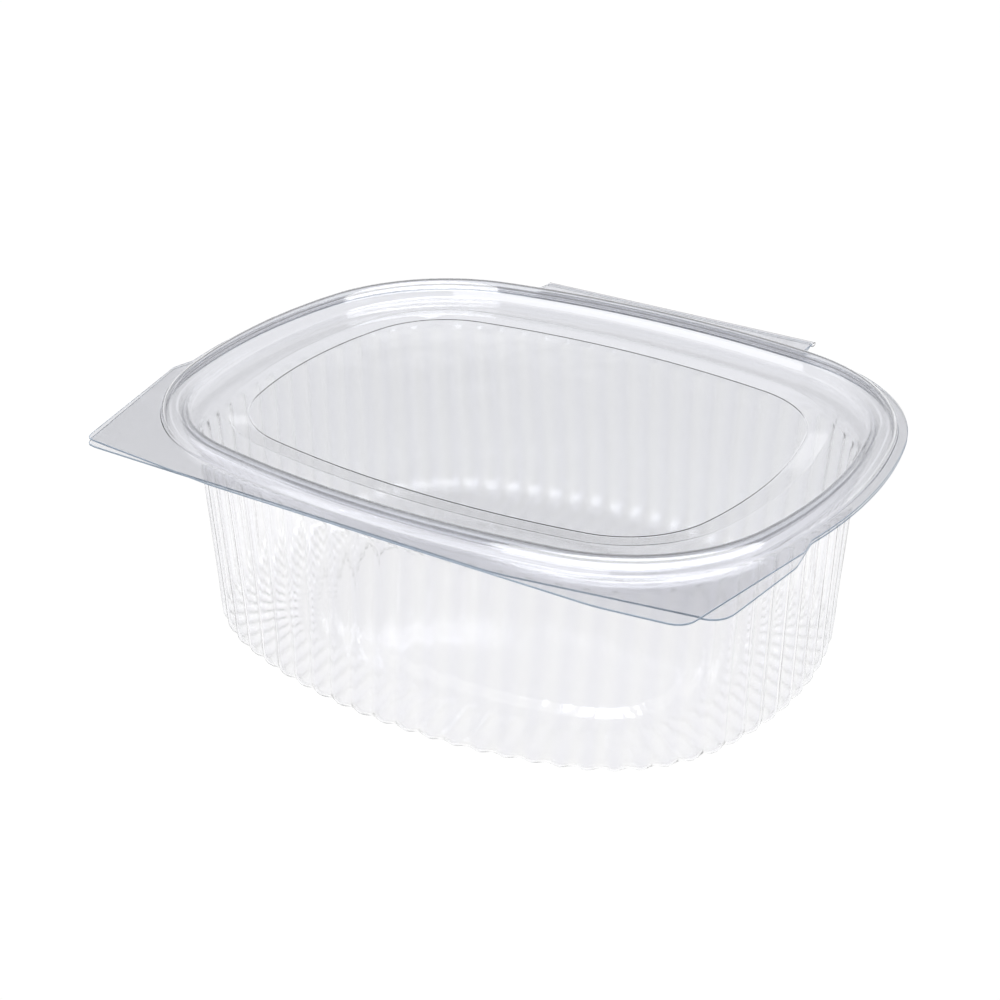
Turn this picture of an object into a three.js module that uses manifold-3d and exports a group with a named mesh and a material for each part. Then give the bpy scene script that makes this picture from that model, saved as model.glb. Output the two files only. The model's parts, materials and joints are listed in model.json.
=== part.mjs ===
// Clear takeaway meal container: a fluted oval tub and its lid, joined along the back by a living hinge.
// Millimetres, +Z up, +Y towards the hinge. The tub stands on Z = 0.
import * as THREE from 'three';
import { mergeVertices } from 'three/addons/utils/BufferGeometryUtils.js';
import Module from 'manifold-3d';

const wasm = await Module();
wasm.setup();

// Two rounded rectangles whose four sides all bulge: the rim's centre line, and the rounder outline of the tub's foot.
const RIM = { halfLength: 89.0, halfDepth: 70.5, side: 272, end: 134, corner: 46 };
const FOOT = { halfLength: 82.8, halfDepth: 67.8, side: 145, end: 95, corner: 46 };

// Heights of the formed sheet.
const SHEET = 0.6;
const FLANGE_TOP = 61.0;
const LID_GAP = 0.35;

// The tub's section, as offsets from the rim's centre line or, below the flutes' tops, from the foot's outline.
// A negative offset is inwards.
const TUB_BEAD_RADIUS = 2.6;
const SEAL_WALL = { offset: -3.0, drop: 5.0 };
const SHOULDER = { offset: -5.0, drop: 5.6 };
const FLUTE_TOP = { offset: -5.4, drop: 10.4 };
const BAND_FOOT = { offset: -5.3, drop: 8.4 };
const WALL_FOOT_HEIGHT = 7.0;
const FOOT_ROUND = 4.8;
const FLUTE_COUNT = 72;
const FLUTE_DEPTH = 1.3;
const FLOOR_RIB_HEIGHT = 0.7;
const FLOOR_RIB_END = -20.0;
const FLOOR_LAND_END = -25.0;
const FLOOR_PANEL_RISE = 0.9;
const FLOOR_RIB_FADE = 2.0;
const FOOT_BENDS = [80, 35];
const FOOT_BEND_SHARE = { fluteIn: 0.8, fluteUp: 0.6 };
const TUB_BEAD_SINK = 0.2;
const BEAD_LIP = 0.5;
const BEAD_OVERLAP = 0.1;

// The lid's section.
const LID_BEAD_RADIUS = 3.6;
const LEDGE_DROP = 0.6;
const PANEL_STEP_OUTER = -13.4;
const PANEL_STEP_INNER = -18.5;
const PANEL_STEP_DROP = 0.9;
const INNER_WALL_FOOT = 0.4;

// The die-cut flange: a narrow band round the oval, two front tabs, and a leaf at the hinge.
// A tab outline is a row of corners, each [x, y, corner radius], from the left end round the front to the right.
const FLANGE_OFFSET = 6.0;
const LID_TABS = [[-94.4, -30, 0], [-82.9, -75.4, 3], [-40, -78.6, 60], [66, -78, 60], [86.2, -75.2, 5], [93.5, -32, 0]];
const TUB_TABS = [[-94.4, -30, 0], [-81.6, -77, 3], [40, -76.8, 60], [91.4, -68.2, 6], [94.4, -38, 0]];
const TABS_END_Y = -4;
const CORNER_STEPS = 5;
const HINGE_CENTRE = 1.2;
const HINGE_HALF_LENGTH = 43.5;
const HINGE_LINE = 81.8;
const FOLD_RADIUS = SHEET + LID_GAP / 2;
const FOLD_LINE = HINGE_LINE - FOLD_RADIUS;
const FOLD_SIDES = 12;
const LID_LEAF_GAP = 1.1;

// Small corner lugs that keep nested tubs apart.
const LUG = { foot: 3.5, head: 2.1, reach: 1.1, sink: 0.3, height: 4.2, inset: 0.77, sides: 8 };
const LUG_TURNS = [0.115, 0.385, 0.615, 0.885];

// Points round the outline: a fine ring follows every flute, a coarse ring the plain parts.
const POINTS_PER_FLUTE = 4;
const FINE = FLUTE_COUNT * POINTS_PER_FLUTE;
const COARSE = FLUTE_COUNT;
const FLUTE_WAVE = [0, 0, 1, 1];
const TUB_BEAD_STEPS = 4;
const LID_BEAD_STEPS = { outer: 6, inner: 4 };

const clearPlastic = { color: 0xe9eef1, roughness: 0.08, metalness: 0, transparent: true, opacity: 0.35 };

// One quarter of an outline: end arc, corner arc and side arc, tangent to each other.
function quarter({ halfLength, halfDepth, side, end, corner }) {
  const endX = halfLength - end;
  const sideY = halfDepth - side;
  const fromSide = side - corner;
  const fromEnd = end - corner;
  const span = Math.hypot(endX, sideY);
  const along = (fromSide ** 2 - fromEnd ** 2 + span ** 2) / (2 * span);
  const across = Math.sqrt(fromSide ** 2 - along ** 2);
  const ux = endX / span;
  const uy = -sideY / span;
  const x = along * ux + across * uy;
  const y = sideY + along * uy - across * ux;
  const endAngle = Math.atan2(y, x - endX);
  const sideAngle = Math.atan2(y - sideY, x);
  const arcs = [
    { x: endX, y: 0, radius: end, from: 0, to: endAngle },
    { x, y, radius: corner, from: endAngle, to: sideAngle },
    { x: 0, y: sideY, radius: side, from: sideAngle, to: Math.PI / 2 },
  ];
  return { arcs, length: arcs.reduce((sum, arc) => sum + arc.radius * (arc.to - arc.from), 0) };
}

const QUARTERS = new Map([[RIM, quarter(RIM)], [FOOT, quarter(FOOT)]]);

// A point of an outline and its outward normal, at a share of the way round from +X.
function outlinePoint(outline, turn) {
  const { arcs, length } = QUARTERS.get(outline);
  const quarters = (((turn % 1) + 1) % 1) * 4;
  const index = Math.floor(quarters);
  const part = quarters - index;
  let left = (index % 2 === 1 ? 1 - part : part) * length;
  const arc = arcs.find(({ radius, from, to }, k) => {
    const share = radius * (to - from);
    if (left <= share || k === 2) return true;
    left -= share;
    return false;
  });
  const angle = arc.from + left / arc.radius;
  const signX = index === 1 || index === 2 ? -1 : 1;
  const signY = index >= 2 ? -1 : 1;
  const nx = Math.cos(angle);
  const ny = Math.sin(angle);
  return {
    x: signX * (arc.x + arc.radius * nx),
    y: signY * (arc.y + arc.radius * ny),
    nx: signX * nx,
    ny: signY * ny,
  };
}

// One closed ring of points. The flute share moves a point inwards and upwards along each flute.
function ring(outline, offset, z, { fine = false, fluteIn = 0, fluteUp = 0 } = {}) {
  const count = fine ? FINE : COARSE;
  const points = [];
  for (let i = 0; i < count; i += 1) {
    const wave = fine ? FLUTE_WAVE[i % POINTS_PER_FLUTE] : 0;
    const shift = fine ? -0.5 / FINE : 0;
    const p = outlinePoint(outline, i / count + shift);
    const s = offset - wave * fluteIn;
    points.push(new THREE.Vector3(p.x + s * p.nx, p.y + s * p.ny, z + wave * fluteUp));
  }
  return points;
}

// Turns three.js geometry into a solid for joining and cutting.
function toSolid(geometry) {
  const bare = geometry.clone();
  bare.deleteAttribute('normal');
  bare.deleteAttribute('uv');
  const merged = mergeVertices(bare, 1e-4);
  const position = merged.getAttribute('position');
  const vertProperties = new Float32Array(position.array);
  const triVerts = new Uint32Array(merged.getIndex().array);
  return new wasm.Manifold(new wasm.Mesh({ numProp: 3, vertProperties, triVerts }));
}

function toGeometry(solid) {
  const mesh = solid.getMesh();
  const geometry = new THREE.BufferGeometry();
  geometry.setAttribute('position', new THREE.BufferAttribute(new Float32Array(mesh.vertProperties), 3));
  geometry.setIndex(new THREE.BufferAttribute(new Uint32Array(mesh.triVerts), 1));
  geometry.computeVertexNormals();
  return geometry;
}

function joinAll(solids) {
  return solids.reduce((sum, solid) => sum.add(solid));
}

// Triangles between two rings. One may have a whole number of times the points of the other.
function strip(lower, upper) {
  const steps = Math.min(lower.count, upper.count);
  const triangles = [];
  for (let i = 0; i < steps; i += 1) {
    const at = (band, part) => band.start + ((i * band.count) / steps + part) % band.count;
    const lowerParts = lower.count / steps;
    const upperParts = upper.count / steps;
    const pivot = lowerParts / 2;
    for (let part = 0; part < lowerParts; part += 1) {
      const far = upperParts === 1 && part >= pivot ? 1 : 0;
      triangles.push(at(lower, part), at(lower, part + 1), at(upper, far));
    }
    for (let part = 0; part < upperParts; part += 1) {
      const near = lowerParts === 1 ? 1 : pivot;
      triangles.push(at(lower, near), at(upper, part + 1), at(upper, part));
    }
  }
  return triangles;
}

// A closed solid from rings that run from the middle of the underside, out, over and back to the middle on top.
function shellFromRings(rings) {
  const points = rings.flat();
  const bands = [];
  let start = 0;
  rings.forEach((band) => {
    bands.push({ start, count: band.length });
    start += band.length;
  });
  const index = [];
  bands.slice(1).forEach((band, k) => index.push(...strip(bands[k], band)));
  [0, bands.length - 1].forEach((k, last) => {
    const centre = points.length;
    points.push(new THREE.Vector3(0, 0, rings[k][0].z));
    for (let i = 0; i < bands[k].count; i += 1) {
      const here = bands[k].start + i;
      const next = bands[k].start + ((i + 1) % bands[k].count);
      index.push(...(last ? [here, next, centre] : [next, here, centre]));
    }
  });
  const geometry = new THREE.BufferGeometry().setFromPoints(points);
  geometry.setIndex(index);
  return toSolid(geometry);
}

// Half-round bead points, from its outer foot over the top to its inner foot.
function beadArc(radius, z, steps) {
  const points = [];
  for (let i = 0; i <= steps; i += 1) {
    const angle = (Math.PI * i) / steps;
    points.push([radius * Math.cos(angle), z + radius * Math.sin(angle)]);
  }
  return points;
}

// A level plate of the given outline.
function plate(points, bottom, top) {
  const shape = new THREE.Shape(points.map((p) => new THREE.Vector2(p.x, p.y)));
  const geometry = new THREE.ExtrudeGeometry(shape, { depth: top - bottom, bevelEnabled: false });
  geometry.translate(0, 0, bottom);
  return toSolid(geometry);
}

// A polygon with rounded corners, each corner given as [x, y, radius].
function roundedPolygon(corners) {
  const points = [];
  corners.forEach(([x, y, radius], i) => {
    const here = new THREE.Vector2(x, y);
    const before = corners[(i + corners.length - 1) % corners.length];
    const after = corners[(i + 1) % corners.length];
    const back = new THREE.Vector2(before[0], before[1]).sub(here).normalize();
    const ahead = new THREE.Vector2(after[0], after[1]).sub(here).normalize();
    if (radius === 0) {
      points.push(here);
      return;
    }
    const half = Math.acos(THREE.MathUtils.clamp(back.dot(ahead), -1, 1)) / 2;
    const reach = radius / Math.tan(half);
    const centre = back.clone().add(ahead).normalize().multiplyScalar(radius / Math.sin(half)).add(here);
    const start = here.clone().addScaledVector(back, reach).sub(centre);
    const sweep = Math.PI - 2 * half;
    for (let k = 0; k <= CORNER_STEPS; k += 1) {
      const a = (sweep * k) / CORNER_STEPS;
      points.push(new THREE.Vector2(
        centre.x + start.x * Math.cos(a) - start.y * Math.sin(a),
        centre.y + start.x * Math.sin(a) + start.y * Math.cos(a),
      ));
    }
  });
  return points;
}

// The flange plate: oval band, front tabs and hinge leaf, with the bead's hole cut out.
function flange(bottom, tabs, hole, leafEnd) {
  const top = bottom + SHEET;
  const oval = plate(ring(RIM, FLANGE_OFFSET, 0), bottom, top);
  const tabPlate = plate(roundedPolygon([
    [-RIM.halfLength, TABS_END_Y, 0],
    ...tabs,
    [RIM.halfLength, TABS_END_Y, 0],
  ]), bottom, top);
  const leaf = plate(roundedPolygon([
    [HINGE_CENTRE - HINGE_HALF_LENGTH, 0, 0],
    [HINGE_CENTRE + HINGE_HALF_LENGTH, 0, 0],
    [HINGE_CENTRE + HINGE_HALF_LENGTH, leafEnd, 0],
    [HINGE_CENTRE - HINGE_HALF_LENGTH, leafEnd, 0],
  ]), bottom, top);
  const opening = plate(ring(RIM, hole, 0), bottom - 1, top + 1);
  return joinAll([oval, tabPlate, leaf]).subtract(opening);
}

// The fold along the outer edge of the hinge leaf.
function fold() {
  const geometry = new THREE.CylinderGeometry(FOLD_RADIUS, FOLD_RADIUS, HINGE_HALF_LENGTH * 2, FOLD_SIDES);
  geometry.rotateZ(Math.PI / 2);
  geometry.translate(HINGE_CENTRE, FOLD_LINE, FLANGE_TOP + LID_GAP / 2);
  return toSolid(geometry);
}

// One face of the fluted wall, from the floor ribs up to the flutes' tops; the sheet's thickness gives the inner face.
function fluteRings(thickness) {
  const fine = true;
  const bend = FOOT_ROUND - thickness;
  const [low, high] = FOOT_BENDS.map((degrees) => {
    const a = THREE.MathUtils.degToRad(degrees);
    return [-thickness - bend * (1 - Math.cos(a)), thickness + bend * (1 - Math.sin(a))];
  });
  const ribs = { fine, fluteUp: FLOOR_RIB_HEIGHT };
  const flutes = { fine, fluteIn: FLUTE_DEPTH };
  const between = {
    fine,
    fluteIn: FLUTE_DEPTH * FOOT_BEND_SHARE.fluteIn,
    fluteUp: FLOOR_RIB_HEIGHT * FOOT_BEND_SHARE.fluteUp,
  };
  return [
    ring(FOOT, FLOOR_RIB_END, thickness, ribs),
    ring(FOOT, ...low, ribs),
    ring(FOOT, ...high, between),
    ring(FOOT, -thickness, WALL_FOOT_HEIGHT, flutes),
    ring(RIM, FLUTE_TOP.offset - thickness, FLANGE_TOP - FLUTE_TOP.drop, flutes),
  ];
}

// Plain rings of the floor's land and raised panel, from the middle outwards.
function floorRings(thickness) {
  return [
    ring(FOOT, FLOOR_LAND_END - FLOOR_PANEL_RISE, FLOOR_PANEL_RISE + thickness),
    ring(FOOT, FLOOR_LAND_END, thickness),
    ring(FOOT, FLOOR_RIB_END - FLOOR_RIB_FADE, thickness),
  ];
}

// Plain rings from the flutes' tops to the inner foot of the bead.
function upperRings(thickness) {
  const under = SHEET - thickness;
  return [
    ring(RIM, BAND_FOOT.offset - thickness, FLANGE_TOP - BAND_FOOT.drop),
    ring(RIM, SHOULDER.offset - thickness, FLANGE_TOP - SHOULDER.drop - under),
    ring(RIM, SEAL_WALL.offset - thickness, FLANGE_TOP - SEAL_WALL.drop - under),
  ];
}

// A lug on the plain band under the shoulder.
function lug(turn) {
  const p = outlinePoint(RIM, turn);
  const offset = SHOULDER.offset - LUG.inset;
  const top = FLANGE_TOP - SHOULDER.drop - LUG.sink;
  const geometry = new THREE.CylinderGeometry(LUG.head, LUG.foot, LUG.height, LUG.sides);
  geometry.rotateX(Math.PI / 2);
  geometry.scale(LUG.reach / LUG.foot, 1, 1);
  geometry.rotateZ(Math.atan2(p.ny, p.nx));
  geometry.translate(p.x + offset * p.nx, p.y + offset * p.ny, top - LUG.height / 2);
  return toSolid(geometry);
}

function tub() {
  const beadZ = FLANGE_TOP - TUB_BEAD_SINK;
  const lip = TUB_BEAD_RADIUS + BEAD_LIP;
  const rim = [
    ...beadArc(TUB_BEAD_RADIUS - SHEET, beadZ, TUB_BEAD_STEPS).reverse(),
    [lip, FLANGE_TOP - SHEET],
    [lip, FLANGE_TOP],
    ...beadArc(TUB_BEAD_RADIUS, beadZ, TUB_BEAD_STEPS),
  ];
  const rings = [
    ...floorRings(0),
    ...fluteRings(0),
    ...upperRings(0),
    ...rim.map(([s, z]) => ring(RIM, s, z)),
    ...upperRings(SHEET).reverse(),
    ...fluteRings(SHEET).reverse(),
    ...floorRings(SHEET).reverse(),
  ];
  const plateHole = TUB_BEAD_RADIUS - BEAD_OVERLAP;
  const rimPlate = flange(FLANGE_TOP - SHEET, TUB_TABS, plateHole, FOLD_LINE);
  return joinAll([shellFromRings(rings), rimPlate, fold(), ...LUG_TURNS.map(lug)]);
}

function lid() {
  const base = FLANGE_TOP + LID_GAP;
  const ledge = FLANGE_TOP - LEDGE_DROP;
  const panel = ledge - PANEL_STEP_DROP;
  const lip = LID_BEAD_RADIUS + BEAD_LIP;
  const section = [
    [PANEL_STEP_INNER, panel - SHEET],
    [PANEL_STEP_OUTER, ledge - SHEET],
    [INNER_WALL_FOOT - LID_BEAD_RADIUS, ledge - SHEET],
    ...beadArc(LID_BEAD_RADIUS - SHEET, base, LID_BEAD_STEPS.inner).reverse(),
    [lip, base],
    [lip, base + SHEET],
    ...beadArc(LID_BEAD_RADIUS, base, LID_BEAD_STEPS.outer).slice(1),
    [-INNER_WALL_FOOT - LID_BEAD_RADIUS, ledge],
    [PANEL_STEP_OUTER, ledge],
    [PANEL_STEP_INNER, panel],
  ];
  const shell = shellFromRings(section.map(([s, z]) => ring(RIM, s, z)));
  const plateHole = LID_BEAD_RADIUS - BEAD_OVERLAP;
  return joinAll([shell, flange(base, LID_TABS, plateHole, FOLD_LINE - LID_LEAF_GAP)]);
}

function part(name, solid) {
  const mesh = new THREE.Mesh(toGeometry(solid), new THREE.MeshStandardMaterial(clearPlastic));
  mesh.name = name;
  return mesh;
}

const container = new THREE.Group();
container.name = 'container';
container.add(part('tub', tub()), part('lid', lid()));

// The origin is under the middle of the whole outline.
const box = new THREE.Box3().setFromObject(container);
const middle = box.getCenter(new THREE.Vector3());
container.position.set(-middle.x, -middle.y, -box.min.z);

export default container;
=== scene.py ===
"""Clear hinged takeaway container: thermoformed tub and lid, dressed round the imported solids.

Lengths are metres in the row frame: +X along the length, +Y towards the hinge, +Z up.
"""

import json
import logging
import math
from dataclasses import dataclass
from enum import Enum
from typing import ClassVar, Iterable, Sequence

import bmesh
import bpy
import numpy as np
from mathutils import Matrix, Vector


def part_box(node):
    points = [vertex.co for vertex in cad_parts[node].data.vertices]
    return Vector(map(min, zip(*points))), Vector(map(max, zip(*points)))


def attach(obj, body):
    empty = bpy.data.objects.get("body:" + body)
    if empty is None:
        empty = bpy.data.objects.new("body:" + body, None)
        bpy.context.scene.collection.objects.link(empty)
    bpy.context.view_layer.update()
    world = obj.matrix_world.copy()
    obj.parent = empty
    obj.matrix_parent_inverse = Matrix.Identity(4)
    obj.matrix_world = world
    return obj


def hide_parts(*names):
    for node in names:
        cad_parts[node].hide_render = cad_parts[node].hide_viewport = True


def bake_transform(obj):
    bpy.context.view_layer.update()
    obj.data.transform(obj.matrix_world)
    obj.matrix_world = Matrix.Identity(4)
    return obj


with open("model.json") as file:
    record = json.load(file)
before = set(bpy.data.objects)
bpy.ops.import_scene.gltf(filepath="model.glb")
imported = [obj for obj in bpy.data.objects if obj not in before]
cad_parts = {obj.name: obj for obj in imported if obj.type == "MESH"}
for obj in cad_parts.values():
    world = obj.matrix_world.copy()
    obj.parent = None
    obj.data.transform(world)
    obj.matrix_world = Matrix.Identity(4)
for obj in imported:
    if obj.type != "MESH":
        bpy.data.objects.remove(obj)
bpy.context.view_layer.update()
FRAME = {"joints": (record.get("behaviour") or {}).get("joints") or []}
LOG = logging.getLogger("container")

MM = 0.001
UP = np.array([0.0, 0.0, 1.0])
TINY = 1e-12  # a length or a product that counts as nothing
STRAIGHT = 1e-3  # radians: a corner whose half turn is smaller isn't rounded
SECTION_START = -45 * MM  # offset where both sections start; a fan closes the face inside it
FILLET_STEPS = 3  # stretches in most small fillets
SHELL_SHARP = 62.0  # degrees between faces at which a shell's shading breaks
FOLD_SHARP = 50.0  # the same for the hinge strip
RIB_LIGHT_TINT = 0.5  # how strongly a rib takes the painted pale light streak, beside a flute
PRESS_LAYERS = ("turn", "below_top", "wall_share", "floor_share", "inward", "upward")


class Half(Enum):
    """The two moulded halves, named as their bodies and nodes."""

    TUB = "tub"
    LID = "lid"


class Defining(Enum):
    """Which face of the sheet a section describes. Its value points to the other face."""

    LOWER = 1.0
    UPPER = -1.0


# Sizes shared by both halves


@dataclass(frozen=True)
class Outline:
    """A rounded rectangle whose four sides bulge, in metres round its own centre."""

    half_length: float
    half_depth: float
    side_radius: float
    end_radius: float
    corner_radius: float

    def arcs(self) -> list[tuple[float, float, float, float, float]]:
        """Gives the end, corner and side arc of one quarter, each tangent to the next.

        Returns:
            Centre x, centre y, radius, first angle and last angle of each arc.
        """
        end_x = self.half_length - self.end_radius
        side_y = self.half_depth - self.side_radius
        from_side = self.side_radius - self.corner_radius
        from_end = self.end_radius - self.corner_radius
        span = math.hypot(end_x, side_y)
        along = (from_side**2 - from_end**2 + span**2) / (2 * span)
        across = math.sqrt(from_side**2 - along**2)
        x = along * end_x / span - across * side_y / span
        y = side_y - along * side_y / span - across * end_x / span
        end_angle = math.atan2(y, x - end_x)
        side_angle = math.atan2(y - side_y, x)
        return [
            (end_x, 0.0, self.end_radius, 0.0, end_angle),
            (x, y, self.corner_radius, end_angle, side_angle),
            (0.0, side_y, self.side_radius, side_angle, math.pi / 2),
        ]

    def perimeter(self) -> float:
        """Gives the length of the whole outline."""
        return 4 * sum(radius * (last - first) for _, _, radius, first, last in self.arcs())

    def at(self, turns: np.ndarray) -> tuple[np.ndarray, np.ndarray]:
        """Places points on the outline by their share of the way round from +X.

        Args:
            turns: Shares of the way round, 0 to 1.

        Returns:
            The points and their outward normals, each an array of x and y.
        """
        quarters = (turns % 1.0) * 4
        index = np.floor(quarters).astype(int)
        part = quarters - index
        left = np.where(index % 2 == 1, 1 - part, part) * self.perimeter() / 4
        place = np.zeros((len(turns), 2))
        normal = np.zeros((len(turns), 2))
        done = np.zeros(len(turns), bool)
        arcs = self.arcs()
        for x, y, radius, first, last in arcs:
            length = radius * (last - first)
            here = ~done & ((left <= length) | (radius == arcs[-1][2]))
            angle = first + left / radius
            turned = np.stack([np.cos(angle), np.sin(angle)], 1)
            place[here] = (np.array([x, y]) + radius * turned)[here]
            normal[here] = turned[here]
            done |= here
            left = left - length
        sign_x = np.where((index == 1) | (index == 2), -1, 1)
        sign = np.stack([sign_x, np.where(index >= 2, -1, 1)], 1)
        return place * sign, normal * sign


@dataclass(frozen=True)
class Corner:
    """A corner of a cut outline or of a section, with the radius that rounds it."""

    x: float
    y: float
    radius: float = 0.0


def rounded(corners: Sequence[Corner], steps: int, closed: bool) -> np.ndarray:
    """Rounds the corners of a path.

    Args:
        corners: The path's corners in order.
        steps: Stretches in each rounded corner.
        closed: Whether the path returns to its start.

    Returns:
        The points of the rounded path, each an x and a y.
    """
    points: list[np.ndarray] = []
    for i, corner in enumerate(corners):
        here = np.array([corner.x, corner.y])
        at_end = not closed and i in (0, len(corners) - 1)
        if corner.radius == 0 or at_end:
            points.append(here)
            continue
        before = corners[i - 1]
        after = corners[(i + 1) % len(corners)]
        back = np.array([before.x, before.y]) - here
        ahead = np.array([after.x, after.y]) - here
        back /= np.linalg.norm(back)
        ahead /= np.linalg.norm(ahead)
        half = math.acos(np.clip(back @ ahead, -1, 1)) / 2
        if math.pi / 2 - half < STRAIGHT:
            points.append(here)
            continue
        middle = back + ahead
        centre = here + middle / np.linalg.norm(middle) * corner.radius / math.sin(half)
        start = here + back * corner.radius / math.tan(half) - centre
        turn = np.sign(back[1] * ahead[0] - back[0] * ahead[1]) * (math.pi - 2 * half)
        for k in range(steps + 1):
            cos, sin = math.cos(turn * k / steps), math.sin(turn * k / steps)
            turned = [start[0] * cos - start[1] * sin, start[0] * sin + start[1] * cos]
            points.append(centre + np.array(turned))
    return np.array(points)


@dataclass(frozen=True)
class Rim:
    """Where the rim is, and the outlines that everything is placed by."""

    outline: Outline = Outline(
        half_length=89 * MM,
        half_depth=70.5 * MM,
        side_radius=272 * MM,
        end_radius=134 * MM,
        corner_radius=46 * MM,
    )
    foot: Outline = Outline(
        half_length=82.8 * MM,
        half_depth=67.8 * MM,
        side_radius=145 * MM,
        end_radius=95 * MM,
        corner_radius=46 * MM,
    )
    flange_offset: float = 6 * MM
    flange_top: float = 61 * MM
    lid_gap: float = 0.35 * MM
    hinge_line: float = 81.8 * MM
    hinge_centre: float = 1.2 * MM
    hinge_half_length: float = 43.5 * MM
    leaf_gap: float = 1.9 * MM

    def centre_y(self) -> float:
        """Gives the rim centre's place along Y, from the tub's back edge."""
        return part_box(Half.TUB.value)[1].y - self.hinge_line

    def hinge_axis(self) -> Vector:
        """Gives the place of the lid's hinge axis, from the frame."""
        return Vector(FRAME["joints"][0]["pos_m"])


RIM = Rim()
SHEET = 0.45 * MM


@dataclass(frozen=True)
class Trim:
    """The die-cut edge of one flange: an oval band, two front tabs and a leaf at the hinge."""

    tabs: tuple[Corner, ...]
    leaf_end: float = RIM.hinge_line - RIM.leaf_gap
    leaf_radius: float = 0.8 * MM
    tabs_end_y: float = -4 * MM
    oval_points: int = 480
    tab_steps: int = 10
    leaf_steps: int = 4

    def loops(self) -> list[np.ndarray]:
        """Draws the closed outlines whose union is the flange.

        Returns:
            The oval band, the front with its tabs and the leaf.
        """
        place, normal = RIM.outline.at(np.linspace(0, 1, self.oval_points, endpoint=False))
        end = RIM.outline.half_length
        front = [Corner(-end, self.tabs_end_y), *self.tabs, Corner(end, self.tabs_end_y)]
        low = RIM.hinge_centre - RIM.hinge_half_length
        high = RIM.hinge_centre + RIM.hinge_half_length
        leaf = [
            Corner(low, 0.0),
            Corner(high, 0.0),
            Corner(high, self.leaf_end, self.leaf_radius),
            Corner(low, self.leaf_end, self.leaf_radius),
        ]
        return [
            place + normal * RIM.flange_offset,
            rounded(front, self.tab_steps, closed=True),
            rounded(leaf, self.leaf_steps, closed=True),
        ]

    def reach(self, place: np.ndarray, normal: np.ndarray) -> np.ndarray:
        """Measures how far the flange reaches from the rim's centre line.

        Args:
            place: Points on the rim's centre line.
            normal: Their outward normals.

        Returns:
            The distance to the cut edge along each normal.
        """
        far = np.zeros(len(place))
        for loop in self.loops():
            edge = np.roll(loop, -1, 0) - loop
            for first, along in zip(loop, edge):
                cross = normal[:, 0] * along[1] - normal[:, 1] * along[0]
                to = first - place
                with np.errstate(divide="ignore", invalid="ignore"):
                    distance = (to[:, 0] * along[1] - to[:, 1] * along[0]) / cross
                    share = (to[:, 0] * normal[:, 1] - to[:, 1] * normal[:, 0]) / cross
                hit = (np.abs(cross) > TINY) & (share >= 0) & (share <= 1) & (distance > far)
                far[hit] = distance[hit]
        return far


@dataclass(frozen=True)
class Bead:
    """A raised bead of the rim, with the skirt that runs from it into the flange.

    The bead is an arc from the start angle to the end angle, in radians from straight outwards.
    Flare and flange start are measured outwards from the bead's radius.
    """

    radius: float
    start: float
    points: int
    flare: float
    skirt_radius: float
    flange_start: float
    end: float = 0.12

    def draw(self, centre_z: float, flange_z: float) -> np.ndarray:
        """Draws the bead and its skirt.

        Args:
            centre_z: Height of the arc's centre.
            flange_z: Height of the flange's defining face.

        Returns:
            Offset and height of each ring, from the inside outwards.
        """
        angles = np.linspace(self.start, self.end, self.points)
        bead = np.stack([self.radius * np.cos(angles), centre_z + self.radius * np.sin(angles)], 1)
        skirt = [
            Corner(*bead[-1]),
            Corner(self.radius + self.flare, flange_z, self.skirt_radius),
            Corner(self.radius + self.flange_start, flange_z),
        ]
        return np.vstack([bead, rounded(skirt, FILLET_STEPS, closed=False)[1:]])


# Flutes by Geometry Nodes


@dataclass(frozen=True)
class Flutes:
    """The upright flutes that stiffen the wall and run on under the floor as ribs.

    The bend places points across a flute's soft side, from -1 at its inner end to 1 at its outer.
    """

    count: int = 72
    width: float = 3.5 * MM
    softness: float = 2.9 * MM
    depth: float = 1.0 * MM
    rib_height: float = 0.4 * MM
    bend: tuple[float, ...] = (-1, -0.4, 0.4, 1)

    def pitch(self) -> float:
        """Gives the distance between flutes along the foot."""
        return RIM.foot.perimeter() / self.count

    def turns(self) -> np.ndarray:
        """Places points round the outline, close together where a flute's side bends.

        Returns:
            Shares of the way round, each flute with the same set of points.
        """
        side = [self.width / 2 + self.softness / 2 * share for share in self.bend]
        across = np.sort([0.0, *side, *(-u for u in side), self.pitch() / 2]) / self.pitch()
        flutes = np.arange(self.count)[:, None]
        return ((flutes + 0.5 + across[None, :]) / self.count).ravel()

    def sizes(self) -> dict[str, float]:
        """Gives the sizes that the Geometry Nodes tree takes, by the name of its input.

        Returns:
            Input name to value.
        """
        return {
            "Count": float(self.count),
            "Pitch": self.pitch(),
            "Width": self.width,
            "Softness": self.softness,
            "Depth": self.depth,
            "Rib height": self.rib_height,
        }


def add_node(
    tree: bpy.types.NodeTree, kind: str, links: dict | None = None, **settings
) -> bpy.types.Node:
    """Adds a node to a tree, with its settings and what its inputs hold or are linked from.

    Args:
        tree: The tree that the node joins.
        kind: The node's Blender name.
        links: Input name or number to an output socket or a plain value.
        settings: The node's own properties.

    Returns:
        The new node.
    """
    node = tree.nodes.new(kind)
    for name, value in settings.items():
        setattr(node, name, value)
    for key, value in (links or {}).items():
        if isinstance(value, bpy.types.NodeSocket):
            tree.links.new(value, node.inputs[key])
        else:
            node.inputs[key].default_value = value
    return node


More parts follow.
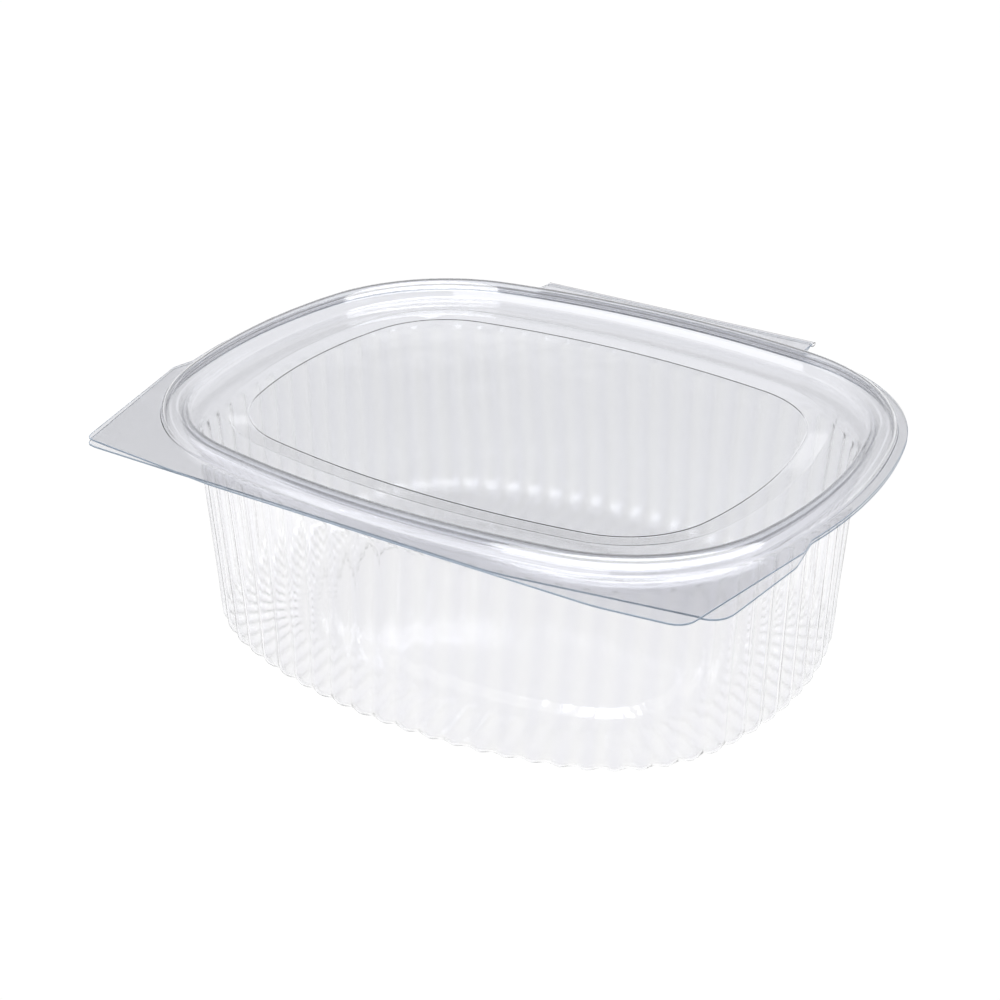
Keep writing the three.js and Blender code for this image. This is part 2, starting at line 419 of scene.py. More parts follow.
def flute_tree(names: Iterable[str], material: bpy.types.Material) -> bpy.types.NodeTree:
    """Builds the Geometry Nodes tree that presses the flutes and ribs into a plain shell.

    Args:
        names: The inputs that take the flutes' sizes.
        material: The plastic that the finished shell gets.

    Returns:
        The tree.
    """
    tree = bpy.data.node_groups.new("press_flutes", "GeometryNodeTree")
    face = tree.interface
    face.new_socket("Geometry", in_out="INPUT", socket_type="NodeSocketGeometry")
    for name in names:
        face.new_socket(name, in_out="INPUT", socket_type="NodeSocketFloat")
    face.new_socket("Geometry", in_out="OUTPUT", socket_type="NodeSocketGeometry")
    start = add_node(tree, "NodeGroupInput").outputs

    def read(name: str, kind: str = "FLOAT") -> bpy.types.NodeSocket:
        """Reads a named attribute of the shell."""
        node = add_node(tree, "GeometryNodeInputNamedAttribute", {"Name": name}, data_type=kind)
        return node.outputs[0]

    def sums(operation: str, *values: bpy.types.NodeSocket | float) -> bpy.types.NodeSocket:
        """Does one sum on numbers."""
        inputs = dict(enumerate(values))
        return add_node(tree, "ShaderNodeMath", inputs, operation=operation).outputs[0]

    phase = sums("FRACT", sums("MULTIPLY", read("turn"), start["Count"]))
    across = sums("MULTIPLY", sums("ABSOLUTE", sums("SUBTRACT", phase, 0.5)), start["Pitch"])
    radius = sums("MULTIPLY", start["Width"], 0.5)
    above_arch = sums("MINIMUM", sums("SUBTRACT", read("below_top"), radius), 0.0)
    across_squared = sums("MULTIPLY", across, across)
    square = sums("ADD", across_squared, sums("MULTIPLY", above_arch, above_arch))
    half_soft = sums("MULTIPLY", start["Softness"], 0.5)
    groove = add_node(
        tree,
        "ShaderNodeMapRange",
        {
            "Value": sums("SUBTRACT", sums("SQRT", square), radius),
            "From Min": sums("MULTIPLY", half_soft, -1.0),
            "From Max": half_soft,
            "To Min": 1.0,
            "To Max": 0.0,
        },
        interpolation_type="SMOOTHSTEP",
    ).outputs[0]

    def push(direction: str, share: str, size: str) -> bpy.types.NodeSocket:
        """Moves the surface along a stored direction.

        Args:
            direction: The attribute that holds the direction.
            share: The attribute that holds how much of the size is pressed.
            size: The input that holds the size.

        Returns:
            The offset.
        """
        amount = sums("MULTIPLY", sums("MULTIPLY", read(share), start[size]), groove)
        inputs = {0: read(direction, "FLOAT_VECTOR"), "Scale": amount}
        return add_node(tree, "ShaderNodeVectorMath", inputs, operation="SCALE").outputs[0]

    both = {
        0: push("inward", "wall_share", "Depth"),
        1: push("upward", "floor_share", "Rib height"),
    }
    offset = add_node(tree, "ShaderNodeVectorMath", both, operation="ADD").outputs[0]
    moved = add_node(
        tree, "GeometryNodeSetPosition", {"Geometry": start["Geometry"], "Offset": offset}
    )
    real = add_node(tree, "GeometryNodeRealizeInstances", {"Geometry": moved.outputs[0]})
    # Stored groove share: painted pale light streaks on flutes and ribs, partly their thinner draw
    on_floor = sums("MULTIPLY", read("floor_share"), RIB_LIGHT_TINT)
    share = sums("ADD", read("wall_share"), on_floor)
    stored = add_node(
        tree,
        "GeometryNodeStoreNamedAttribute",
        {"Geometry": real.outputs[0], "Name": "groove", "Value": sums("MULTIPLY", groove, share)},
        data_type="FLOAT",
        domain="POINT",
    )
    dressed = add_node(
        tree, "GeometryNodeSetMaterial", {"Geometry": stored.outputs[0], "Material": material}
    )
    add_node(tree, "NodeGroupOutput", {0: dressed.outputs[0]})
    return tree


# Shells


@dataclass(frozen=True)
class Lug:
    """A small lug pressed into the plain band under the shoulder, which keeps nested tubs apart.

    It stands at full reach round its middle and ends where the spread says, in half widths.
    """

    turn: float
    half_width: float = 3.4 * MM
    spread: float = 1.35
    reach: float = 0.8 * MM
    low: float = 50.8 * MM
    high: float = 55.2 * MM
    fade: float = 1.5 * MM

    def reach_at(self, turns: np.ndarray, height: float) -> np.ndarray:
        """Measures how far the lug stands inwards at points of a ring.

        Args:
            turns: The points' shares of the way round.
            height: The ring's height.

        Returns:
            The reach at each point.
        """
        away = np.abs((turns - self.turn + 0.5) % 1.0 - 0.5) * RIM.outline.perimeter()
        across = np.clip(self.spread - away / self.half_width, 0, 1)
        along = np.clip(min(height - self.low, self.high - height) / self.fade, 0, 1)
        return self.reach * across * along


@dataclass(frozen=True)
class Shell:
    """A closed shell of sheet, swept round the rim from its section.

    The section runs from the middle outwards, as offset from the outline and height. Its last
    point is the flange, which then runs on to the cut edge in steps. The edge bulges a little
    beyond the two faces. Within the uncut gap of the leaf's end the sheet goes on into the hinge.
    """

    section: np.ndarray
    turns: np.ndarray
    trim: Trim
    face: Defining
    lugs: Sequence[Lug] = ()
    fluted: bool = False
    edge_steps: tuple[float, ...] = (0.25, 0.99, 1.0)
    edge_bulge: float = 0.11 * MM
    uncut_gap: float = 0.1 * MM

    def outline_at(self, height: float) -> tuple[np.ndarray, np.ndarray]:
        """Gives the outline at a height: the foot's, the rim's, or one between them on the wall.

        Args:
            height: Height above the table.

        Returns:
            The outline's points and their outward normals.
        """
        foot, foot_normal = RIM.foot.at(self.turns)
        rim, rim_normal = RIM.outline.at(self.turns)
        share = np.clip((height - Tub.wall_foot) / (Tub.flute_top - Tub.wall_foot), 0, 1)
        place = foot * (1 - share) + rim * share
        normal = foot_normal * (1 - share) + rim_normal * share
        return place, normal / np.linalg.norm(normal, axis=1)[:, None]

    def face_grid(self) -> np.ndarray:
        """Sweeps the section's face.

        Returns:
            An array of rings, points and coordinates.
        """
        shifts = []
        for offset, height in self.section:
            shift = np.full(len(self.turns), offset)
            for lug in self.lugs:
                shift -= lug.reach_at(self.turns, height)
            shifts.append((shift, height))
        offset, height = self.section[-1]
        reach = self.trim.reach(*self.outline_at(height)) - self.edge_bulge
        shifts += [(offset + (reach - offset) * share, height) for share in self.edge_steps]
        rings = []
        for shift, height in shifts:
            place, normal = self.outline_at(height)
            ring = place + normal * shift[:, None]
            rings.append(np.c_[ring, np.full(len(ring), height)])
        return np.array(rings)

    def normals(self, grid: np.ndarray) -> np.ndarray:
        """Gives each grid point's normal, from its neighbours along and across the sweep.

        Args:
            grid: The face's rings, points and coordinates.

        Returns:
            The normals, an array of the same shape.
        """
        round_way = np.roll(grid, -1, 1) - np.roll(grid, 1, 1)
        out_way = np.gradient(grid, axis=0)
        normal = np.cross(out_way, round_way)
        length = np.linalg.norm(normal, axis=2)[..., None]
        return normal / np.maximum(length, TINY)

    def build(self, name: str) -> bpy.types.Object:
        """Makes the closed mesh, with what the flutes and the material need stored on its points.

        Args:
            name: The object's name.

        Returns:
            The shell's object, at the rim's place in the row frame.
        """
        grid = self.face_grid()
        normal = self.normals(grid)
        upward = np.sign(normal[0, 0, 2])
        other = grid + normal * upward * self.face.value * SHEET
        other[-1, :, :2] = grid[-1, :, :2]
        lower, upper = (grid, other) if self.face is Defining.LOWER else (other, grid)
        edge = (lower[-1] + upper[-1]) / 2
        edge[:, :2] += self.outline_at(RIM.flange_top)[1] * self.edge_bulge
        layers = np.concatenate([lower, edge[None], upper[::-1]])
        rings, count = layers.shape[:2]
        centres = np.array([[0, 0, lower[0, 0, 2]], [0, 0, upper[0, 0, 2]]])
        points = np.vstack([layers.reshape(-1, 3), centres])
        points[:, 1] += RIM.centre_y()
        here = np.arange(count)
        after = (here + 1) % count
        faces: list[tuple[int, ...]] = []
        for k in range(rings - 1):
            a, b = k * count, (k + 1) * count
            faces += list(zip(a + here, b + here, b + after, a + after))
        low_centre, high_centre = rings * count, rings * count + 1
        top = (rings - 1) * count
        faces += [(low_centre, i, j) for i, j in zip(here, after)]
        faces += [(high_centre, top + j, top + i) for i, j in zip(here, after)]
        mesh = bpy.data.meshes.new(name)
        mesh.from_pydata(points.tolist(), [], [tuple(int(v) for v in f) for f in faces])
        recalculate(mesh)
        self.store(mesh, {"cut": self.cut_share(grid)})
        if self.fluted:
            self.store(mesh, self.press_values(normal))
        return placed(name, mesh)

    def cut_share(self, grid: np.ndarray) -> np.ndarray:
        """Marks where the die cuts the outer edge, which is rough and painted a grey-blue shade.

        Args:
            grid: The defining face's rings, points and coordinates.

        Returns:
            One on the cut edge and zero elsewhere, by ring and point.
        """
        cut = np.zeros(grid.shape[:2])
        cut[-1] = grid[-1, :, 1] < self.trim.leaf_end - self.uncut_gap
        return cut

    def press_values(self, normal: np.ndarray) -> dict[str, np.ndarray]:
        """Works out the shares and directions that the flutes and ribs are pressed by.

        Args:
            normal: The defining face's normals, by ring and point.

        Returns:
            Attribute name to numbers or vectors, by ring and point.
        """
        depth, count = normal.shape[:2]
        rings = np.vstack([self.section, *[self.section[-1:]] * len(self.edge_steps)])
        offsets, heights = rings.T
        level = np.abs(normal[..., 2])
        below = np.repeat((Tub.arch_line - heights)[:, None], count, 1)
        on_wall = (heights < Tub.arch_line)[:, None] * np.sqrt(np.clip(1 - level**2, 0, 1))
        fade = np.clip((offsets - Tub.rib_end) / Tub.rib_fade, 0, 1)
        on_floor = ((fade * fade * (3 - 2 * fade)) * (heights < Tub.wall_foot))[:, None] * level
        inward = np.zeros((depth, count, 3))
        for k, height in enumerate(heights):
            inward[k, :, :2] = -self.outline_at(height)[1]
        turn = np.repeat(self.turns[None], depth, 0)
        upward = np.broadcast_to(UP, inward.shape)
        return dict(zip(PRESS_LAYERS, (turn, below, on_wall, on_floor, inward, upward)))

    def store(self, mesh: bpy.types.Mesh, values: dict[str, np.ndarray]) -> None:
        """Stores values of the defining face on both faces of the sheet and on the edge between.

        Args:
            mesh: The shell's mesh.
            values: Attribute name to numbers or vectors, by ring and point.
        """
        for name, value in values.items():
            both = np.concatenate([value, value[-1:], value[::-1]])
            flat = both.reshape(-1, *value.shape[2:])
            flat = np.concatenate([flat, np.zeros_like(flat[:2])]).astype(np.float32)
            kind, key = ("FLOAT_VECTOR", "vector") if value.ndim == 3 else ("FLOAT", "value")
            layer = mesh.attributes.new(name, kind, "POINT")
            layer.data.foreach_set(key, flat.ravel())


@dataclass(frozen=True)
class Tub:
    """The fluted oval tub, with its sealing bead and flange.

    Offsets are measured outwards from the outline, and heights from the table.
    """

    # Where flutes and ribs begin and end, which Shell reads too
    wall_foot: ClassVar[float] = 7.0 * MM
    flute_top: ClassVar[float] = 50.6 * MM
    arch_line: ClassVar[float] = 51.8 * MM
    rib_end: ClassVar[float] = -22.0 * MM
    rib_fade: ClassVar[float] = 4.5 * MM

    rib_rings: int = 4
    panel_rise: float = 0.9 * MM
    land_end: float = -25.0 * MM
    step_run: float = 3.6 * MM
    step_margin: float = 0.8 * MM
    step_round: float = 2.5 * MM
    foot_start: float = -9.0 * MM
    foot_round: float = 4.8 * MM
    foot_margin: float = 1.0 * MM
    foot_steps: int = 7
    wall_offset: float = -5.4 * MM
    wall_rings_mm: tuple[float, ...] = (
        12, 26, 40, 47.5, 48.6, 49.3, 49.9, 50.5, 51.1, 51.7, 52.1
    )
    band_offset: float = -5.3 * MM
    band_low: float = 52.4 * MM
    band_high: float = 54.8 * MM
    band_rings: int = 4
    band_end: float = 54.9 * MM
    shoulder: Corner = Corner(-5.0 * MM, 55.4 * MM, 0.7 * MM)
    seal_foot: Corner = Corner(-3.0 * MM, 56.0 * MM, 0.6 * MM)
    seal_lead: float = 0.3 * MM
    bead_sink: float = 0.2 * MM
    bead: Bead = Bead(
        radius=2.6 * MM - SHEET,
        start=0.97 * math.pi,
        points=10,
        flare=0.15 * MM,
        skirt_radius=0.45 * MM,
        flange_start=2.2 * MM,
    )
    flutes: Flutes = Flutes()
    lug_turns: tuple[float, ...] = (0.115, 0.385, 0.615, 0.885)
    tabs: tuple[Corner, ...] = (
        Corner(-94.4 * MM, -30 * MM),
        Corner(-81.6 * MM, -77 * MM, 3 * MM),
        Corner(40 * MM, -76.8 * MM, 60 * MM),
        Corner(91.4 * MM, -68.2 * MM, 6 * MM),
        Corner(94.4 * MM, -38 * MM),
    )

    def section(self) -> np.ndarray:
        """Draws the outer face, from the middle of the underside out to the flange.

        Returns:
            Offset and height of each ring.
        """
        bead_z = RIM.flange_top - self.bead_sink
        step_start = self.land_end - self.step_run
        floor = [
            Corner(SECTION_START, self.panel_rise),
            Corner(step_start - self.step_margin, self.panel_rise),
            Corner(step_start, self.panel_rise, self.step_round),
            Corner(self.land_end, 0.0, self.step_round),
            Corner(self.land_end + self.step_margin, 0.0),
            Corner(self.rib_end, 0.0),
        ]
        ribs = self.rib_end + self.rib_fade * np.arange(1, self.rib_rings + 1) / self.rib_rings
        foot = [
            Corner(self.foot_start, 0.0),
            Corner(0.0, 0.0, self.foot_round),
            Corner(0.0, self.wall_foot + self.foot_margin),
        ]
        band = np.linspace(self.band_low, self.band_high, self.band_rings)
        seal = [
            Corner(self.band_offset, self.band_end),
            self.shoulder,
            self.seal_foot,
            Corner(-self.bead.radius - self.seal_lead, bead_z - self.seal_lead),
        ]
        return np.vstack(
            [
                rounded(floor, FILLET_STEPS, closed=False),
                np.c_[ribs, np.zeros(len(ribs))],
                rounded(foot, self.foot_steps, closed=False),
                self.wall(),
                np.c_[np.full(len(band), self.band_offset), band],
                rounded(seal, FILLET_STEPS, closed=False)[1:],
                self.bead.draw(bead_z, RIM.flange_top - SHEET),
            ]
        )

    def wall(self) -> np.ndarray:
        """Draws the wall between the foot and the flutes' arched tops.

        Returns:
            Offset and height of each ring.
        """
        heights = np.array(self.wall_rings_mm) * MM
        share = np.clip((heights - self.wall_foot) / (self.flute_top - self.wall_foot), 0, 1)
        return np.stack([self.wall_offset * share, heights], 1)

    def build(self, plastic: bpy.types.Material) -> bpy.types.Object:
        """Makes the tub and presses its flutes.

        Args:
            plastic: The clear plastic.

        Returns:
            The finished tub, a plain mesh.
        """
        lugs = [Lug(turn) for turn in self.lug_turns]
        turns = self.flutes.turns()
        shell = Shell(self.section(), turns, Trim(self.tabs), Defining.LOWER, lugs, fluted=True)
        body = shell.build("tub_shell")
        sizes = self.flutes.sizes()
        modifier = body.modifiers.new("flutes", "NODES")
        modifier.node_group = flute_tree(sizes, plastic)
        for socket in modifier.node_group.interface.items_tree:
            if socket.in_out == "INPUT" and socket.name in sizes:
                modifier[socket.identifier] = sizes[socket.name]
        return plain_mesh(body)


@dataclass(frozen=True)
class Lid:
    """The shallow lid: a bead, a flat ledge and a centre panel one step lower, with a fine ridge.

    Offsets are measured outwards from the outline. Margins are the straight stretches that are
    kept on each side of a fillet.
    """

    bead: Bead = Bead(
        radius=3.6 * MM,
        start=0.96 * math.pi,
        points=20,
        flare=0.05 * MM,
        skirt_radius=0.35 * MM,
        flange_start=1.4 * MM,
    )
    bead_foot_gap: float = 0.4 * MM
    bead_foot_rise: float = 0.3 * MM
    bead_foot_round: float = 0.6 * MM
    ledge_margin: float = 1.2 * MM
    ledge_drop: float = 0.5 * MM
    ledge_fall: float = 0.1 * MM
    step_outer: float = -13.4 * MM
    step_inner: float = -18.6 * MM
    step_drop: float = 0.9 * MM
    step_round: float = 3.0 * MM
    step_margin: float = 0.9 * MM
    ridge_height: float = 0.07 * MM
    ridge_width: float = 0.8 * MM
    ridge_round: float = 0.4 * MM
    ridge_foot_round: float = 0.5 * MM
    ridge_margin: float = 0.6 * MM
    fillet_steps: int = 5
    points_round: int = 576
    tabs: tuple[Corner, ...] = (
        Corner(-94.4 * MM, -30 * MM),
        Corner(-82.9 * MM, -75.4 * MM, 3 * MM),
        Corner(-40 * MM, -78.6 * MM, 60 * MM),
        Corner(66 * MM, -78 * MM, 60 * MM),
        Corner(86.2 * MM, -75.2 * MM, 5 * MM),
        Corner(93.5 * MM, -32 * MM),
    )

    def section(self) -> np.ndarray:
        """Draws the upper face, from the middle of the panel out to the flange.

        Returns:
            Offset and height of each ring.
        """
        base = RIM.flange_top + RIM.lid_gap
        high = RIM.flange_top - self.ledge_drop
        low = high - self.ledge_fall
        panel = low - self.step_drop
        bead_foot = -self.bead.radius - self.bead_foot_gap
        slope = (high - low) / (bead_foot - self.step_outer)
        fall = self.step_drop / (self.step_outer - self.step_inner)
        ridge = self.step_inner - self.ridge_width
        by_ridge, by_step, by_ledge = self.ridge_margin, self.step_margin, self.ledge_margin
        flat = [
            Corner(SECTION_START, panel),
            Corner(ridge - by_ridge, panel),
            Corner(ridge, panel, self.ridge_foot_round),
            Corner(ridge + self.ridge_width / 2, panel + self.ridge_height, self.ridge_round),
            Corner(self.step_inner, panel, self.ridge_foot_round),
            Corner(self.step_inner + by_ridge, panel + fall * by_ridge),
            Corner(self.step_outer - by_step, low - fall * by_step),
            Corner(self.step_outer, low, self.step_round),
            Corner(self.step_outer + by_step, low + slope * by_step),
            Corner(bead_foot - by_ledge, high - slope * by_ledge),
            Corner(bead_foot, high, self.bead_foot_round),
            Corner(-self.bead.radius, base + self.bead_foot_rise),
        ]
        inside = rounded(flat, self.fillet_steps, closed=False)[:-1]
        return np.vstack([inside, self.bead.draw(base, base + SHEET)])

    def build(self, plastic: bpy.types.Material) -> bpy.types.Object:
        """Makes the lid.

        Args:
            plastic: The clear plastic.

        Returns:
            The finished lid, a plain mesh.
        """
        turns = np.arange(self.points_round) / self.points_round
        body = Shell(self.section(), turns, Trim(self.tabs), Defining.UPPER).build("lid_shell")
        body.data.materials.append(plastic)
        return body


@dataclass(frozen=True)
class Hinge:
    """The living hinge: a thinned strip of the sheet, folded over between the two leaves."""

    thickness: float = 0.28 * MM
    steps: int = 10
    spans: int = 58

    def fold(self) -> np.ndarray:
        """Draws the strip's section: out from the tub's leaf, round the fold, back to the lid's.

        Returns:
            The closed section's points along Y and Z from the hinge axis.
        """
        axis = RIM.hinge_axis()
        leaf_edge = RIM.hinge_line - RIM.leaf_gap + RIM.centre_y() - axis.y
        rise = RIM.flange_top + RIM.lid_gap + SHEET / 2 - axis.z
        angles = [-math.pi / 2 + math.pi * k / self.steps for k in range(self.steps + 1)]
        bend = [(rise * math.cos(a), rise * math.sin(a)) for a in angles]
        path = np.array([(leaf_edge, -rise), *bend, (leaf_edge, rise)])
        along = np.gradient(path, axis=0)
        normal = np.stack([along[:, 1], -along[:, 0]], 1)
        normal /= np.linalg.norm(normal, axis=1)[:, None]
        shift = normal * self.thickness / 2
        return np.vstack([path + shift, (path - shift)[::-1]])

    def build(self, plastic: bpy.types.Material) -> bpy.types.Object:
        """Makes the folded strip.

        Args:
            plastic: The clear plastic.

        Returns:
            The strip, a plain mesh.
        """
        axis = RIM.hinge_axis()
        loop = self.fold()
        low = RIM.hinge_centre - RIM.hinge_half_length
        xs = np.linspace(low, low + 2 * RIM.hinge_half_length, self.spans + 1)
        points = [(float(x), axis.y + float(y), axis.z + float(z)) for x in xs for y, z in loop]
        count = len(loop)
        faces = []
        for k in range(self.spans):
            a, b = k * count, (k + 1) * count
            for i in range(count):
                j = (i + 1) % count
                faces.append((a + i, a + j, b + j, b + i))
        for a, way in ((0, -1), (self.spans * count, 1)):
            for i in range(count // 2 - 1):
                quad = (a + i, a + i + 1, a + count - 2 - i, a + count - 1 - i)
                faces.append(quad[::way])
        mesh = bpy.data.meshes.new("hinge_strip")
        mesh.from_pydata(points, [], faces)
        mesh.materials.append(plastic)
        recalculate(mesh)
        return placed("hinge_strip", mesh)


def placed(name: str, mesh: bpy.types.Mesh) -> bpy.types.Object:
    """Makes an object of a mesh and puts it in the scene.

    Args:
        name: The object's name.
        mesh: Its mesh.

    Returns:
        The object, at the origin.
    """
    body = bpy.data.objects.new(name, mesh)
    bpy.context.scene.collection.objects.link(body)
    return body


def recalculate(mesh: bpy.types.Mesh) -> None:
    """Turns a closed mesh's faces outwards.

    Args:
        mesh: The mesh, changed in place.
    """
    work = bmesh.new()
    work.from_mesh(mesh)
    bmesh.ops.recalc_face_normals(work, faces=work.faces)
    work.to_mesh(mesh)
    work.free()


def plain_mesh(body: bpy.types.Object) -> bpy.types.Object:
    """Turns an object with live modifiers into a plain mesh, without what only they used.

    Args:
        body: The object, changed in place.

    Returns:
        The same object.
    """
    graph = bpy.context.evaluated_depsgraph_get()
    mesh = bpy.data.meshes.new_from_object(body.evaluated_get(graph))
    mesh.name = body.name
    body.modifiers.clear()
    body.data = mesh
    for name in PRESS_LAYERS:
        mesh.attributes.remove(mesh.attributes[name])
    return body


def smooth(body: bpy.types.Object, sharp: float) -> None:
    """Shades an object smooth, with sharp edges where it turns by more than an angle in degrees."""
    body.data.shade_smooth()
    body.data.set_sharp_from_angle(angle=math.radians(sharp))


# Finishes


def linear(code: str) -> tuple[float, float, float, float]:
    """Turns an sRGB hex colour into linear values, by the sRGB curve.

    Args:
        code: Six hex digits.

    Returns:
        Linear red, green and blue, and an alpha of one.
    """
    parts = [int(code[i : i + 2], 16) / 255 for i in (0, 2, 4)]
    r, g, b = (c / 12.92 if c <= 0.04045 else ((c + 0.055) / 1.055) ** 2.4 for c in parts)
    return (r, g, b, 1.0)


@dataclass(frozen=True)
class ClearSheet:
    """Thermoformed clear PET sheet.

    Clear with a faint cool grey where the eye looks along the sheet. Its surface is glossy, with
    the slow waves that drawing the hot sheet over a mould leaves. The tub's grooves are painted
    paler: painted light streaks along the flutes, partly the thinner, clearer draw of the sheet
    there. The die roughens the sheet along its cut edge, which scatters light, and the edge is
    painted a grey-blue shade in place of its dark lines.
    """

    name: str
    colour: str
    # Colour in the grooves: painted pale light streaks, partly the thinner draw of the sheet
    groove_light_colour: str = ""
    ior: float = 1.57
    roughness: float = 0.05
    wave: float = 14 * MM
    wave_height: float = 1 * MM
    wave_strength: float = 0.05
    wave_detail: float = 2.0
    wave_roughness: float = 0.4
    # Cut edge: a painted grey-blue shade, laid on as haze; the roughness is the cut's own.
    cut_shade_colour: str = "A0B0C2"
    cut_roughness: float = 0.45
    cut_shade_haze: float = 0.5

    def make(self) -> bpy.types.Material:
        """Builds the material.

        Returns:
            The material.
        """
        material = bpy.data.materials.new(self.name)
        material.use_nodes = True
        tree = material.node_tree
        tree.nodes.clear()
        waves = add_node(
            tree,
            "ShaderNodeTexNoise",
            {
                "Vector": add_node(tree, "ShaderNodeTexCoord").outputs["Object"],
                "Scale": 1 / self.wave,
                "Detail": self.wave_detail,
                "Roughness": self.wave_roughness,
            },
        )
        bump = add_node(
            tree,
            "ShaderNodeBump",
            {
                "Height": waves.outputs["Fac"],
                "Strength": self.wave_strength,
                "Distance": self.wave_height,
            },
        )
        # The groove share paints pale light streaks on the flutes, partly the sheet's thinner draw.
        cut = add_node(tree, "ShaderNodeAttribute", attribute_name="cut").outputs["Fac"]
        groove = add_node(tree, "ShaderNodeAttribute", attribute_name="groove").outputs["Fac"]
        groove_lit_colour = linear(self.groove_light_colour or self.colour)
        sheet = self.tint(tree, groove, linear(self.colour), groove_lit_colour)
        # Along the cut edge the colour is a painted grey-blue shade, laid on as haze.
        shader = add_node(
            tree,
            "ShaderNodeBsdfPrincipled",
            {
                "Base Color": self.tint(tree, cut, sheet, linear(self.cut_shade_colour)),
                "Roughness": self.ramp(tree, cut, self.roughness, self.cut_roughness),
                "IOR": self.ior,
                "Transmission Weight": self.ramp(tree, cut, 1.0, -self.cut_shade_haze),
                "Normal": bump.outputs["Normal"],
            },
        )
        add_node(tree, "ShaderNodeOutputMaterial", {"Surface": shader.outputs[0]})
        return material

    @staticmethod
    def ramp(
        tree: bpy.types.NodeTree, share: bpy.types.NodeSocket, plain: float, change: float
    ) -> bpy.types.NodeSocket:
        """Changes a plain value by a stored share of a change."""
        inputs = {0: share, 1: change, 2: plain}
        return add_node(tree, "ShaderNodeMath", inputs, operation="MULTIPLY_ADD").outputs[0]

    @staticmethod
    def tint(
        tree: bpy.types.NodeTree,
        share: bpy.types.NodeSocket,
        plain: bpy.types.NodeSocket | tuple[float, ...],
        tinted: tuple[float, ...],
    ) -> bpy.types.NodeSocket:
        """Mixes from a plain colour to a tinted one, by the Mix node's colour sockets."""
        links = {"Factor": share, 6: plain, 7: tinted}
        return add_node(tree, "ShaderNodeMix", links, data_type="RGBA").outputs[2]


@dataclass(frozen=True)
class LitTable:
    """A white table lit from below, as for clear goods: even white, with no shadow."""

    half_size: float = 8.0
    drop: float = 0.2 * MM
    glow: float = 1.02

    def build(self) -> None:
        """Makes the table's plane and its material."""
        material = bpy.data.materials.new("lit_white_table")
        material.use_nodes = True
        tree = material.node_tree
        tree.nodes.clear()
        inputs = {"Color": linear("FFFFFF"), "Strength": self.glow}
        light = add_node(tree, "ShaderNodeEmission", inputs)
        add_node(tree, "ShaderNodeOutputMaterial", {"Surface": light.outputs[0]})
        mesh = bpy.data.meshes.new("table")
        s, z = self.half_size, -self.drop
        mesh.from_pydata([(-s, -s, z), (s, -s, z), (s, s, z), (-s, s, z)], [], [(0, 1, 2, 3)])
        mesh.materials.append(material)
        table = placed("table", mesh)


@dataclass(frozen=True)
class Softbox:
    """A rectangular softbox. Its size is its width along X and its other side.

    Its lean is in degrees towards the back: at 0 it faces down, at 90 it faces along +Y.
    """

    name: str
    place: tuple[float, float, float]
    size: tuple[float, float]
    watts: float
    lean: float = 0.0

    def hang(self) -> None:
        """Makes the light and hangs it in its place."""
        light = bpy.data.lights.new(self.name, "AREA")
        light.shape = "RECTANGLE"
        light.size, light.size_y = self.size
        light.energy = self.watts
        body = bpy.data.objects.new(self.name, light)
        body.location = self.place
        body.rotation_euler = (math.radians(self.lean), 0.0, 0.0)
        bpy.context.scene.collection.objects.link(body)


@dataclass(frozen=True)
class Studio:
    """Soft studio light: a dim sky with one low bright band, and softboxes round the container.

    Each step of the sky is the sine of its height over the horizon, and its brightness there.
    """

    steps: tuple[tuple[float, float], ...] = (
        (0.0, 0.4),
        (0.2, 0.22),
        (0.31, 0.22),
        (0.33, 0.75),
        (0.372, 0.75),
        (0.39, 0.2),
        (0.42, 0.18),
        (0.52, 0.22),
        (0.6, 0.35),
        (1.0, 0.35),
    )
    coolness: float = 1.02
    softboxes: tuple[Softbox, ...] = (
        Softbox("softbox_overhead", (0.3, -0.25, 0.9), (1.2, 1.6), 24.0),
        Softbox("softbox_left", (-1.0, -0.1, 0.9), (0.6, 0.6), 1.2),
        Softbox("softbox_front", (-0.4, -1.5, 0.6), (2.2, 1.1), 8.0, lean=90.0),
    )

    def build(self) -> None:
        """Makes the sky and the softboxes."""
        world = bpy.data.worlds.new("studio")
        bpy.context.scene.world = world
        world.use_nodes = True
        tree = world.node_tree
        tree.nodes.clear()
        way = add_node(tree, "ShaderNodeTexCoord").outputs["Generated"]
        height = add_node(tree, "ShaderNodeSeparateXYZ", {0: way}).outputs["Z"]
        ramp = add_node(tree, "ShaderNodeValToRGB", {"Fac": height})
        band = ramp.color_ramp
        while len(band.elements) < len(self.steps):
            band.elements.new(0.5)
        for element, (share, value) in zip(band.elements, self.steps):
            element.position = share
            element.color = (value, value, value * self.coolness, 1)
        inputs = {"Color": ramp.outputs["Color"], "Strength": 1.0}
        sky = add_node(tree, "ShaderNodeBackground", inputs)
        add_node(tree, "ShaderNodeOutputWorld", {"Surface": sky.outputs[0]})
        for softbox in self.softboxes:
            softbox.hang()


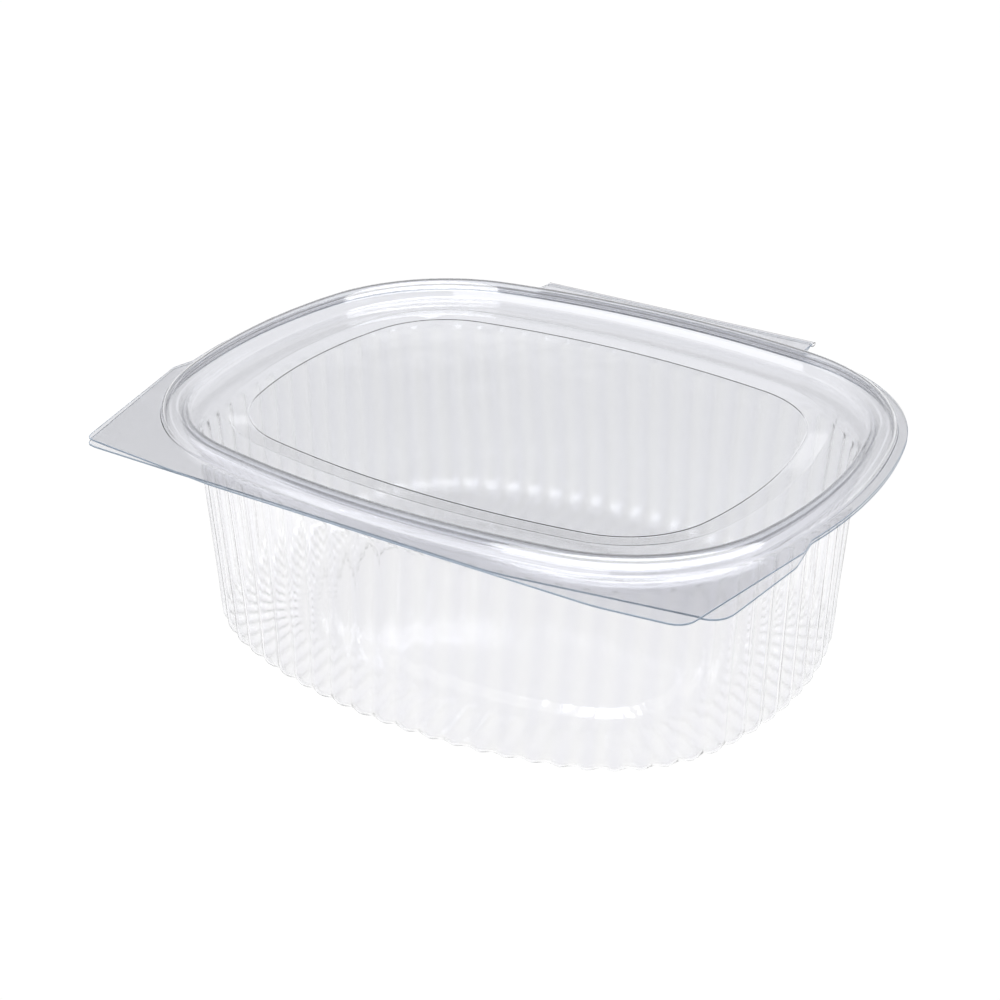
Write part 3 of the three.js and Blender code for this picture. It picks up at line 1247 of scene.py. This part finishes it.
@dataclass(frozen=True)
class PhotoView:
    """The camera at the photograph's view. Lens and sensor are in millimetres."""

    place: tuple[float, float, float] = (0.2332, -0.3750, 0.2623)
    aim: tuple[float, float, float] = (-0.0006, -0.0131, 0.0394)
    lens: float = 67.02
    sensor: float = 36.0
    nearest: float = 0.01
    farthest: float = 20.0
    bounces: int = 20
    glossy_bounces: int = 8

    def build(self) -> None:
        """Makes the camera, the picture's colour handling and how far light is followed."""
        data = bpy.data.cameras.new("photo_view")
        data.lens = self.lens
        data.sensor_width = self.sensor
        data.clip_start = self.nearest
        data.clip_end = self.farthest
        camera = bpy.data.objects.new("photo_view", data)
        camera.location = self.place
        look = Vector(self.aim) - Vector(self.place)
        camera.rotation_euler = look.to_track_quat("-Z", "Y").to_euler()
        scene = bpy.context.scene
        scene.collection.objects.link(camera)
        scene.camera = camera
        scene.view_settings.view_transform = "Standard"
        scene.cycles.max_bounces = self.bounces
        scene.cycles.transmission_bounces = self.bounces
        scene.cycles.glossy_bounces = self.glossy_bounces


def report(bodies: Iterable[bpy.types.Object]) -> None:
    """Logs each piece with its triangles.

    Args:
        bodies: The finished pieces.
    """
    for body in bodies:
        body.data.calc_loop_triangles()
        LOG.info("%s: %d triangles", body.name, len(body.data.loop_triangles))


def main() -> None:
    """Builds the container, its finishes and the studio."""
    logging.basicConfig(level=logging.INFO, format="%(name)s: %(message)s")
    # The tub's grooves are painted white: painted light streaks along the flutes.
    tub_plastic = ClearSheet("thermoformed_clear_pet", "FBFBFD", "FFFFFF").make()
    # The lid is the same sheet as the tub; its darker tint is painted shade on its panel and tabs.
    lid_plastic = ClearSheet("thermoformed_clear_pet_lid_shaded", "F7F8FB").make()
    tub = Tub().build(tub_plastic)
    lid = Lid().build(lid_plastic)
    hinge = Hinge().build(tub_plastic)
    for body, sharp in ((tub, SHELL_SHARP), (lid, SHELL_SHARP), (hinge, FOLD_SHARP)):
        smooth(body, sharp)
    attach(tub, Half.TUB.value)
    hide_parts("tub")
    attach(lid, Half.LID.value)
    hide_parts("lid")
    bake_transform(hinge)
    LitTable().build()
    Studio().build()
    PhotoView().build()
    report((tub, lid, hinge))


if __name__ == "__main__":
    main()
